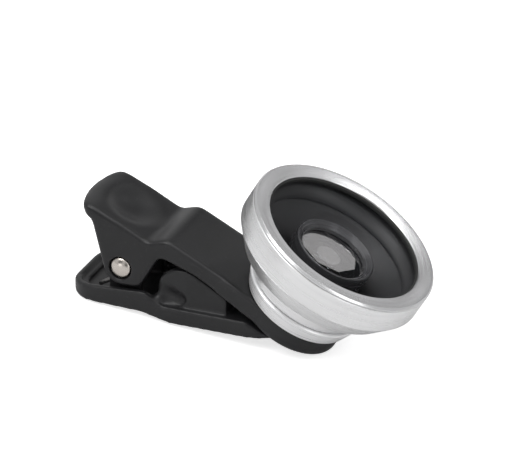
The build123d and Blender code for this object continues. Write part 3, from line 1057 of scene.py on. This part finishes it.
@dataclass
class PivotSet:
    """Rivet pin with its domed head, and the spring that is wound round it."""

    radius: float = 1.3
    head_r: float = 1.95
    tail_r: float = 1.6
    seat: float = 7.5
    head_thick: float = 1.4
    head_rise: float = 0.6
    tail_thick: float = 0.7
    tail_dent: float = 0.18
    wire_r: float = 0.45
    wire_sides: int = 16
    wire_ends: tuple[Point, ...] = ((-0.30, 0.55), (-0.12, 0.88))
    coil_r: float = 2.65
    coil_pitch: float = 1.55
    whole_turns: int = 4
    turn_steps: int = 48
    lower_slope: float = 24.0
    upper_slope: float = 50.0
    lower_leg: float = 7.8
    upper_leg: float = 5.7
    leg_steps: int = 6
    wound_reach: float = 2.8

    def pin(self) -> bpy.types.Mesh:
        """Turn the pin: Z runs towards the head.

        Returns:
            Its mesh.
        """
        tip = self.seat + self.head_thick
        tail = -self.seat - self.tail_thick
        crown = dome(self.head_r - 0.1, tip - self.head_rise, self.head_rise, 16)
        crown.append((self.head_r, tip - self.head_rise - 0.12))
        shank = [
            (self.head_r, self.seat, 0.1), (self.radius, self.seat, 0),
            (self.radius, -self.seat, 0), (self.tail_r, -self.seat, 0.08),
            (self.tail_r, tail + 0.3, 0.25), (self.tail_r * 0.6, tail, 0.2),
            (self.tail_r * 0.4, tail + 0.15, 0.1), (0.0, tail + self.tail_dent, 0),
        ]
        return turned_mesh(crown + rounded(shank, 6), 96)

    def spring_path(self) -> list[Vector]:
        """Lay the middle line of the wire: a leg, the coil round the pin, and the other leg.

        Returns:
            Its points in the lower frame, in millimetres.
        """
        start = math.radians(-90.0 + self.lower_slope)
        end = math.radians(90.0 - self.upper_slope + 360.0 * self.whole_turns)
        turns = (end - start) / (2 * math.pi)
        steps = self.turn_steps * int(turns) + self.turn_steps // 2
        height = turns * self.coil_pitch
        coil = []
        for k in range(steps + 1):
            t = k / steps
            angle = start + (end - start) * t
            coil.append(Vector((
                PIVOT[0] + self.coil_r * math.cos(angle),
                -height / 2 + height * t,
                PIVOT[2] + self.coil_r * math.sin(angle),
            )))
        first = (coil[0] - coil[1]).normalized() * self.lower_leg
        last = (coil[-1] - coil[-2]).normalized() * self.upper_leg
        before = [coil[0] + first * k / self.leg_steps for k in range(self.leg_steps, 0, -1)]
        after = [coil[-1] + last * k / self.leg_steps for k in range(1, self.leg_steps + 1)]
        return before + coil + after

    def spring(self) -> bpy.types.Mesh:
        """Draw the wire along its line, with narrowed ends.

        The first end's cap stands out along the line and the last end's is folded in a little.

        Returns:
            Its mesh, in metres in the lower frame.
        """
        path = self.spring_path()
        along_first = (path[1] - path[0]).normalized()
        along_last = (path[-1] - path[-2]).normalized()
        spots = [(path[0] + along_first * shift, scale) for shift, scale in self.wire_ends]
        spots += [(point, 1.0) for point in path[1:-1]]
        spots += [(path[-1] + along_last * shift, scale)
                  for shift, scale in reversed(self.wire_ends)]
        vertices: list[Vector] = []
        rings: list[range] = []
        side = Vector((0, 1, 0))
        for i, (point, scale) in enumerate(spots):
            ahead = spots[min(i + 1, len(spots) - 1)][0] - spots[max(i - 1, 0)][0]
            ahead.normalize()
            side = (side - ahead * side.dot(ahead)).normalized()
            up = ahead.cross(side)
            rings.append(range(len(vertices), len(vertices) + self.wire_sides))
            for k in range(self.wire_sides):
                a = 2 * math.pi * k / self.wire_sides
                offset = (side * math.cos(a) + up * math.sin(a)) * self.wire_r * scale
                vertices.append((point + offset) * MM)
        faces = [
            (a[k], a[(k + 1) % self.wire_sides], b[(k + 1) % self.wire_sides], b[k])
            for a, b in zip(rings, rings[1:]) for k in range(self.wire_sides)
        ]
        faces += [tuple(reversed(rings[0])), tuple(rings[-1])]
        return mesh_from("spring", vertices, faces)

    def build(self) -> None:
        """Build the pin, and the spring, which stays fixed in the row's frame."""
        settle("pivot_rivet", self.pin(), Finishes.pin, Body.UPPER_ARM, ["pivot_pin"], PIN_FRAME)
        spring = settle("handle_spring", self.spring(), Finishes.wire, None,
                        ["torsion_spring"], LOWER_FRAME)
        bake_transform(spring)


@dataclass
class JawPads:
    """Soft ring under the lens disc and ribbed strip on the lower jaw."""

    ring_r: float = 8.4
    hole_r: float = 6.0
    proud: float = 0.3
    recess: float = 0.8
    grooves: tuple[float, ...] = (6.75, 7.6)
    groove_depth: float = 0.18
    strip: tuple[float, float, float] = (3.4, 12.8, 1.0)
    strip_middle: float = -3.6
    strip_floor: float = -1.4
    strip_corner: float = 0.8
    strip_grid: tuple[int, int] = (72, 96)
    ribs: int = 5
    rib_depth: float = 0.14
    edge_drop: float = 0.22

    def ring(self) -> bpy.types.Mesh:
        """Turn the ring, with two shallow grooves in its face.

        Returns:
            Its mesh.
        """
        low = -self.proud
        face = [(self.hole_r, self.recess, 0), (self.hole_r, low, 0.2)]
        for middle in self.grooves:
            floor = low + self.groove_depth
            face += [(middle - 0.18, low, 0.05), (middle - 0.1, floor, 0.05),
                     (middle + 0.1, floor, 0.05), (middle + 0.18, low, 0.05)]
        face += [(self.ring_r, low, 0.2), (self.ring_r, self.recess, 0)]
        return turned_mesh(rounded(face, 4), 160)

    def strip_mesh(self) -> bpy.types.Mesh:
        """Make the strip, with rounded corners and ribs across the jaw.

        Returns:
            Its mesh, in metres in the disc's frame.
        """
        length, width, thick = self.strip
        columns, rows = self.strip_grid
        x = np.linspace(-length / 2, length / 2, columns)
        y = np.linspace(-width / 2, width / 2, rows)
        gx, gy = np.meshgrid(x, y, indexing="ij")
        corner = self.strip_corner
        over_x = np.clip(np.abs(gx) - (length / 2 - corner), 0, None)
        over_y = np.clip(np.abs(gy) - (width / 2 - corner), 0, None)
        reach = np.hypot(over_x, over_y)
        pull = np.where(reach > corner, corner / np.maximum(reach, 1e-9), 1.0)
        gx = np.sign(gx) * (np.abs(gx) - over_x + over_x * pull)
        gy = np.sign(gy) * (np.abs(gy) - over_y + over_y * pull)
        edge = np.minimum(length / 2 - np.abs(gx), width / 2 - np.abs(gy))
        wave = 0.5 + 0.5 * np.cos(gx / length * 2 * math.pi * self.ribs)
        top = thick - self.edge_drop * (1 - ramp(edge, 0.0, 0.3))
        top = top - self.rib_depth * ramp(wave, 0.45, 0.85) * ramp(edge, 0.3, 0.5)
        upper = np.stack([gx, gy, top], axis=-1).reshape(-1, 3)
        lower = np.stack([gx, gy, np.zeros_like(gx)], axis=-1).reshape(-1, 3)
        count = columns * rows
        faces = []
        for i in range(columns - 1):
            for j in range(rows - 1):
                a = i * rows + j
                faces.append((a, a + rows, a + rows + 1, a + 1))
                faces.append((count + a, count + a + 1, count + a + rows + 1, count + a + rows))
        border = list(range(rows))
        border += [i * rows + rows - 1 for i in range(1, columns)]
        border += [(columns - 1) * rows + j for j in range(rows - 2, -1, -1)]
        border += [i * rows for i in range(columns - 2, 0, -1)]
        faces += [(a, b, count + b, count + a) for a, b in zip(border, border[1:] + border[:1])]
        points = np.concatenate([upper, lower]) + (self.strip_middle, 0, self.strip_floor)
        return mesh_from("strip", [tuple(map(float, p * MM)) for p in points], faces)

    def build(self) -> None:
        """Build both pads."""
        settle("upper_soft_ring", self.ring(), Finishes.rubber, Body.UPPER_ARM,
               ["upper_jaw_pad"], DISC_FRAME)
        settle("lower_soft_strip", self.strip_mesh(), Finishes.rubber, Body.LOWER_ARM,
               ["lower_jaw_pad"], DISC_FRAME)


@dataclass
class CloseUpLens:
    """Base ring with its threaded spigot, glass and retaining ring."""

    spigot_r: float = 8.25
    foot: float = -2.55
    seat: float = 0.05
    ring_low_r: float = 10.45
    ring_r: float = 11.6
    ring_top: float = 3.2
    chamfer: float = 0.3
    bore_r: float = 7.3
    bore_floor: float = -0.4
    seat_r: float = 6.65
    seat_floor: float = -2.2
    light_r: float = 5.8
    glass: GroundGlass = GroundGlass(6.6, -1.5, 1.0, -2.15, 5.7, -1.0)
    retainer: TurnedPiece = TurnedPiece(
        "close_up_retainer", "macro_retainer", Body.CLOSE_UP_GLASS, Finishes.cell,
        ((5.6, -1.15, 0), (6.6, -1.4, 0), (6.6, -0.5, 0.05), (5.6, -0.5, 0.05)),
        segments=240, shape=Slots(-0.5, 0.3),
    )

    def barrel(self) -> bpy.types.Mesh:
        """Turn the base ring and its threaded spigot.

        Returns:
            Its mesh.
        """
        thread = Thread(self.foot + self.chamfer, self.seat - 0.1, self.spigot_r)
        ring = [
            (self.spigot_r, self.seat, 0), (self.ring_low_r, self.seat, 0.12),
            (self.ring_r, self.ring_top - self.chamfer, 0.1),
            (self.ring_r - 0.25, self.ring_top, 0.1),
            (self.bore_r + self.chamfer, self.ring_top, 0.05),
            (self.bore_r, self.ring_top - self.chamfer, 0), (self.bore_r, self.bore_floor, 0),
            (self.seat_r, self.bore_floor, 0), (self.seat_r, self.seat_floor, 0),
            (self.light_r, self.seat_floor, 0), (self.light_r, self.foot, 0.05),
            (self.spigot_r - self.chamfer, self.foot, 0.05),
        ]
        return turned_mesh(thread.outline() + rounded(ring), 192, thread)

    def build(self) -> None:
        """Build the lens that stays at the disc."""
        settle("base_ring", self.barrel(), Finishes.base, Body.CLOSE_UP_BARREL,
               ["macro_barrel"], LENS_FRAME)
        settle("close_up_glass", self.glass.mesh(), Finishes.inner_glass, Body.CLOSE_UP_GLASS,
               ["macro_element"], LENS_FRAME)
        self.retainer.build(LENS_FRAME)


@dataclass
class WideLens:
    """Turned barrel, front ring, glasses, cup and inner tube of the wide lens."""

    spigot_r: float = 7.25
    foot: float = -0.3
    shoulder: float = 3.25
    chamfer: float = 0.3
    neck_r: float = 11.0
    cone_low: Point = (15.7, 7.9)
    cone_high: Point = (18.3, 11.85)
    barrel_r: float = 18.5
    barrel_top: float = 16.85
    rim_chamfer: float = 0.14
    skirt_r: float = 17.3
    skirt_floor: float = 14.7
    glass_r: float = 16.4
    glass_floor: float = 12.5
    glass_gap: float = 0.05
    cup_rim: Point = (15.4, 12.1)
    cup_bend: Point = (11.8, 8.9)
    cup_foot: Point = (9.4, 7.7)
    tube_r: float = 7.45
    tube_floor: float = 4.4
    light_r: float = 5.2
    front_plane: float = 17.6
    dish: float = 0.28
    front_chamfer: Point = (0.34, 0.36)
    opening_r: float = 15.33
    opening_chamfer: float = 0.15
    front_edge: float = 16.0
    front_rise: float = 1.3
    front_corner: tuple[Point, ...] = (
        (16.28, 16.01), (16.4, 15.88), (16.4, 14.7), (16.05, 13.9), (15.4, 13.1), (14.5, 12.6),
    )
    front_hollow: tuple[float, float, float] = (13.0, 12.55, 3.6)
    glass_sharp: float = 30.0
    mouth: GroundGlass = GroundGlass(6.65, 12.3, 0.06, 10.8, 5.6, 1.0)
    rear: GroundGlass = GroundGlass(6.65, 6.9, 1.0, 5.8, 6.65, -0.6)
    inner_pieces: tuple[TurnedPiece, ...] = (
        TurnedPiece(
            "glass_gasket", "front_gasket", Body.WIDE_BARREL, Finishes.rubber,
            ((15.0, 16.25, 0.05), (16.4, 16.05, 0), (16.4, 16.9, 0), (15.0, 16.9, 0.1)),
        ),
        TurnedPiece(
            "black_cup", "baffle_cone", Body.WIDE_BARREL, Finishes.cup,
            ((7.5, 7.75, 0), (9.35, 7.75, 0), (11.75, 8.95, 0), (15.3, 12.1, 0),
             (15.3, 12.45, 0.05), (14.7, 12.45, 0.1), (7.5, 8.3, 0.05)),
        ),
        TurnedPiece(
            "inner_tube", "inner_cell", Body.WIDE_BARREL, Finishes.tube,
            ((6.7, 4.45, 0), (7.4, 4.45, 0.1), (7.4, 8.6, 0.1), (7.85, 9.0, 0.1),
             (7.85, 13.85, 0.08), (7.6, 14.05, 0.06), (6.45, 13.1, 0.08), (6.35, 12.4, 0.05),
             (6.7, 12.4, 0)),
            segments=160, steps=4,
        ),
        TurnedPiece(
            "tube_spacer", "element_spacer", Body.WIDE_GLASS, Finishes.cell,
            ((5.6, 7.3, 0.05), (6.65, 7.3, 0), (6.65, 10.75, 0), (5.6, 10.75, 0.05)),
            segments=128,
        ),
        TurnedPiece(
            "tube_retainer", "rear_retainer", Body.WIDE_GLASS, Finishes.cell,
            ((5.5, 4.5, 0.05), (6.65, 4.5, 0.05), (6.65, 5.55, 0), (5.5, 5.55, 0)),
            segments=240, shape=Slots(4.5, -0.35),
        ),
    )

    def barrel(self) -> bpy.types.Mesh:
        """Turn the spigot, neck, cone and cylinder.

        Returns:
            Their mesh.
        """
        thread = Thread(0.1, self.shoulder - 0.2, self.spigot_r)
        low_r, low_z = self.cone_low
        high_r, high_z = self.cone_high
        seat_r = self.glass_r + self.glass_gap
        body = [
            (self.spigot_r, self.shoulder, 0), (self.neck_r, self.shoulder, 0.2),
            (self.neck_r, low_z - 0.5, 0.5), (low_r - 0.3, low_z - 0.1, 0.25),
            (low_r, low_z + 0.2, 0.15), (high_r, high_z - 0.12, 0.03),
            (high_r - 0.12, high_z, 0.02), (self.barrel_r - 0.05, high_z + 0.1, 0.04),
            (self.barrel_r, high_z + 0.2, 0.05), (self.barrel_r, self.barrel_top - 0.12, 0.04),
            (self.barrel_r - self.rim_chamfer, self.barrel_top, 0.02),
            (self.skirt_r, self.barrel_top, 0), (self.skirt_r, self.skirt_floor, 0),
            (seat_r, self.skirt_floor, 0), (seat_r, self.glass_floor, 0),
            (self.cup_rim[0], self.glass_floor, 0), (*self.cup_rim, 0), (*self.cup_bend, 0),
            (*self.cup_foot, 0), (self.tube_r, self.cup_foot[1], 0),
            (self.tube_r, self.tube_floor, 0), (self.light_r, self.tube_floor, 0.05),
            (self.light_r, self.foot, 0.1), (self.spigot_r - self.chamfer, self.foot, 0.05),
            (self.spigot_r, 0.0, 0),
        ]
        return turned_mesh(thread.outline() + rounded(body), 256, thread)

    def bezel(self) -> bpy.types.Mesh:
        """Turn the front ring, with its chamfered rim and its skirt.

        Returns:
            Its mesh.
        """
        lip = self.barrel_top + 0.05
        inner_r, outer_r, low = self.glass_r + 0.1, self.skirt_r - 0.05, self.skirt_floor + 0.1
        across, down = self.front_chamfer
        opening = self.front_plane - self.dish
        outline = [
            (self.opening_r, lip, 0), (inner_r, lip, 0), (inner_r, low, 0), (outer_r, low, 0),
            (outer_r, lip, 0), (self.barrel_r - self.rim_chamfer, lip, 0.02),
            (self.barrel_r, lip + 0.12, 0.04), (self.barrel_r, self.front_plane - down, 0.06),
            (self.barrel_r - across, self.front_plane, 0.08),
            (self.opening_r + self.opening_chamfer, opening, 0.05),
            (self.opening_r, opening - self.opening_chamfer, 0.04),
        ]
        return turned_mesh(rounded(outline), 256)

    def front_glass(self) -> bpy.types.Mesh:
        """Turn the front glass: a domed front, a ground corner and a hollow rear.

        Returns:
            Its mesh.
        """
        front = dome(self.glass_r, self.front_edge, self.front_rise)[:-1]
        rear = dome(*self.front_hollow)[::-1]
        return turned_mesh(front + list(self.front_corner) + rear, 192)

    def build(self) -> None:
        """Build the wide lens from its barrel to its glasses."""
        settle("wide_body", self.barrel(), Finishes.barrel, Body.WIDE_BARREL, ["wide_barrel"],
               LENS_FRAME)
        settle("front_ring", self.bezel(), Finishes.bezel, Body.WIDE_BARREL, ["front_bezel"],
               LENS_FRAME)
        for piece in self.inner_pieces:
            piece.build(LENS_FRAME)
        for name, mesh, finish, node in (
            ("front_glass", self.front_glass(), Finishes.front_glass, "front_element"),
            ("mouth_glass", self.mouth.mesh(), Finishes.mouth_glass, "concave_element"),
            ("rear_glass", self.rear.mesh(), Finishes.inner_glass, "convex_element"),
        ):
            settle(name, mesh, finish, Body.WIDE_GLASS, [node], LENS_FRAME, self.glass_sharp)


@dataclass(frozen=True)
class Lamp:
    """A soft lamp of the studio: place, size in metres, strength in watts and aim."""

    name: str
    place: Place
    size: tuple[float, float]
    power: float
    aim: Place = (0.0, 0.0, 0.015)

    def build(self) -> None:
        """Hang the lamp."""
        data = bpy.data.lights.new(self.name, "AREA")
        data.shape = "RECTANGLE"
        data.size, data.size_y = self.size
        data.energy = self.power
        lamp = linked(self.name, data)
        lamp.location = self.place
        towards = Vector(self.aim) - Vector(self.place)
        lamp.rotation_euler = towards.to_track_quat("-Z", "Y").to_euler()


@dataclass(frozen=True)
class Card:
    """A card that shows in polished surfaces and not in front of the camera: a painted
    reflection, a painted highlight where it glows brightly and a dark painted reflection where
    its glow is low.

    It fades out from the share of its radius that core gives; a core over 1 leaves it whole.
    """

    name: str
    place: Place
    radius: float
    glow: float
    sides: int = 8
    aim: Place = (0.0, 0.0, 0.02)
    core: float = 2.0

    def dress(self) -> bpy.types.Material:
        """Make the card's glow.

        Returns:
            Its material.
        """
        material = bpy.data.materials.new(self.name)
        tree = ShaderTree(material)
        x, y, _ = tree.parts(tree.place())
        reach = (x * x + y * y) ** 0.5 / self.radius
        fade = reach.between(self.core, max(self.core + 0.01, 0.97))
        glow = tree.node("ShaderNodeEmission", sockets={"Strength": self.glow})
        tree.surface(tree.between(fade, glow, tree.node("ShaderNodeBsdfTransparent")))
        return material

    def build(self) -> None:
        """Hang the card."""
        corners = polygon(self.radius, self.sides, math.pi / self.sides)
        mesh = mesh_from(self.name, corners, [tuple(range(self.sides))])
        card = linked(self.name, mesh)
        card.location = self.place
        towards = Vector(self.aim) - Vector(self.place)
        card.rotation_euler = towards.to_track_quat("Z", "Y").to_euler()
        mesh.materials.append(self.dress())
        card.visible_camera = False
        card.visible_diffuse = False
        card.visible_shadow = False
        card.visible_transmission = False


@dataclass
class Studio:
    """Floor, world, lamps, cards and camera."""

    azimuth: float = 18.178658
    elevation: float = 27.388692
    roll: float = 7.213391
    distance: float = 0.5998545
    pixels_per_mm: float = 5.4672425
    aim_pixel: Point = (256.2126, 252.2903)
    frame_pixels: Point = (522.0, 452.0)
    aim: Place = (0.0, 0.0, 0.015)
    film: float = 36.0
    floor_r: float = 1.6
    floor_tone: float = 0.82
    floor_glow: float = 0.72
    floor_sides: int = 96
    room_light: float = 0.42
    room_gloss: float = 0.62
    lamps: tuple[Lamp, ...] = (
        Lamp("key_lamp", (-0.30, -0.48, 0.72), (0.50, 0.50), 3.2),
        Lamp("side_lamp", (0.70, -0.35, 0.35), (0.35, 0.70), 1.2),
        Lamp("top_lamp", (-0.05, -0.04, 0.95), (0.8, 0.5), 2.7),
    )
    # Painted reflections: the bright cards paint highlights and the dark cards paint dark
    # reflections in polished surfaces; they are hidden from the camera, from diffuse light and
    # from shadows.
    cards: tuple[Card, ...] = (
        Card("octagon_card", (0.0545, 0.2141, 0.1438), 0.0124, 0.92, aim=MOUTH_PLACE),
        Card("round_card", (0.0560, 0.2085, 0.1440), 0.0062, 1.15, 24, MOUTH_PLACE, 0.75),
        Card("pin_dark_card", (-0.0396, -0.0600, 0.0338), 0.021, 0.02, 24, core=0.6),
        Card("octagon_back_card", (0.0583, 0.2352, 0.1570), 0.026, 0.02, 16),
        Card("horizon_card", (0.30, 0.93, 0.20), 0.22, 1.2, 24, core=0.25),
        Card("left_back_card", (-0.49, 0.76, 0.12), 0.20, 0.9, 24, core=0.3),
        Card("low_front_card", (-0.115, -0.37, 0.045), 0.07, 4.0, 24, core=0.3),
        Card("plate_dark_card", (-0.019, 0.081, 0.068), 0.032, 0.10, 24, core=0.4),
        Card("high_bright_card", (0.225, 0.644, 0.612), 0.036, 9.0),
        Card("dark_front_card", (0.034, -0.112, 0.034), 0.030, 0.02, 16, core=0.8),
        Card("dark_floor_card", (-0.080, 0.052, 0.003), 0.060, 0.02, 24,
             (-0.080, 0.052, 0.1), 0.7),
    )

    def camera(self) -> None:
        """Set up the camera at the photograph's viewing angle."""
        azimuth, elevation, roll = map(math.radians, (self.azimuth, self.elevation, self.roll))
        ahead = Vector((-math.sin(azimuth) * math.cos(elevation),
                        math.cos(azimuth) * math.cos(elevation), -math.sin(elevation)))
        level = Vector((math.cos(azimuth), math.sin(azimuth), 0.0))
        upright = level.cross(ahead)
        right = level * math.cos(roll) + upright * math.sin(roll)
        up = -level * math.sin(roll) + upright * math.cos(roll)
        width, height = self.frame_pixels
        across = (width / 2 - self.aim_pixel[0]) / self.pixels_per_mm * MM
        above = (self.aim_pixel[1] - height / 2) / self.pixels_per_mm * MM
        middle = Vector(self.aim) + right * across + up * above
        data = bpy.data.cameras.new("photo_camera")
        data.sensor_width = self.film
        data.lens = self.film * self.pixels_per_mm * self.distance / MM / width
        data.clip_start, data.clip_end = 0.01, 20.0
        turn = Matrix((right, up, -ahead)).transposed().to_4x4()
        view = linked("photo_camera", data)
        view.matrix_world = Matrix.Translation(middle - ahead * self.distance) @ turn
        bpy.context.scene.camera = view

    def floor(self) -> None:
        """Lay a pale floor that the camera sees white, with the object's soft shadow."""
        corners = polygon(self.floor_r, self.floor_sides, height=-0.00002)
        mesh = mesh_from("floor", corners, [tuple(range(self.floor_sides))])
        floor = linked("floor", mesh)
        material = bpy.data.materials.new("pale_floor")
        tree = ShaderTree(material)
        matt = tree.node("ShaderNodeBsdfDiffuse", sockets={"Color": grey(self.floor_tone)})
        glow = tree.node("ShaderNodeEmission", sockets={"Strength": self.floor_glow})
        white = tree.node("ShaderNodeAddShader", sockets={0: matt, 1: glow})
        tree.surface(tree.between(tree.ray("Is Camera Ray"), matt, white))
        mesh.materials.append(material)

    def world(self) -> None:
        """Light the room evenly: white for the camera and through glass, brighter in gloss."""
        world = bpy.data.worlds.new("room")
        bpy.context.scene.world = world
        tree = ShaderTree(world)
        plain, gloss, white = (
            tree.node("ShaderNodeBackground", sockets={"Color": grey(1.0), "Strength": strength})
            for strength in (self.room_light, self.room_gloss, 1.0)
        )
        room = tree.between(tree.ray("Is Glossy Ray"), plain, gloss)
        seen = tree.ray("Is Camera Ray").math("MAXIMUM", tree.ray("Is Transmission Ray"))
        tree.node("ShaderNodeOutputWorld", sockets={"Surface": tree.between(seen, room, white)})

    def build(self) -> None:
        """Build the whole studio."""
        bpy.context.scene.view_settings.view_transform = "Standard"
        self.camera()
        self.floor()
        self.world()
        for thing in (*self.lamps, *self.cards):
            thing.build()


def main() -> None:
    """Load the fixed frame and build the studio and every sub-assembly round it."""
    logging.basicConfig(level=logging.INFO, format="%(name)s %(message)s")
    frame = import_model()
    Studio().build()
    ClipArms().build(frame["nodes"])
    for part in (PivotSet(), JawPads(), CloseUpLens(), WideLens()):
        part.build()
    bpy.context.view_layer.update()


if __name__ == "__main__":
    main()
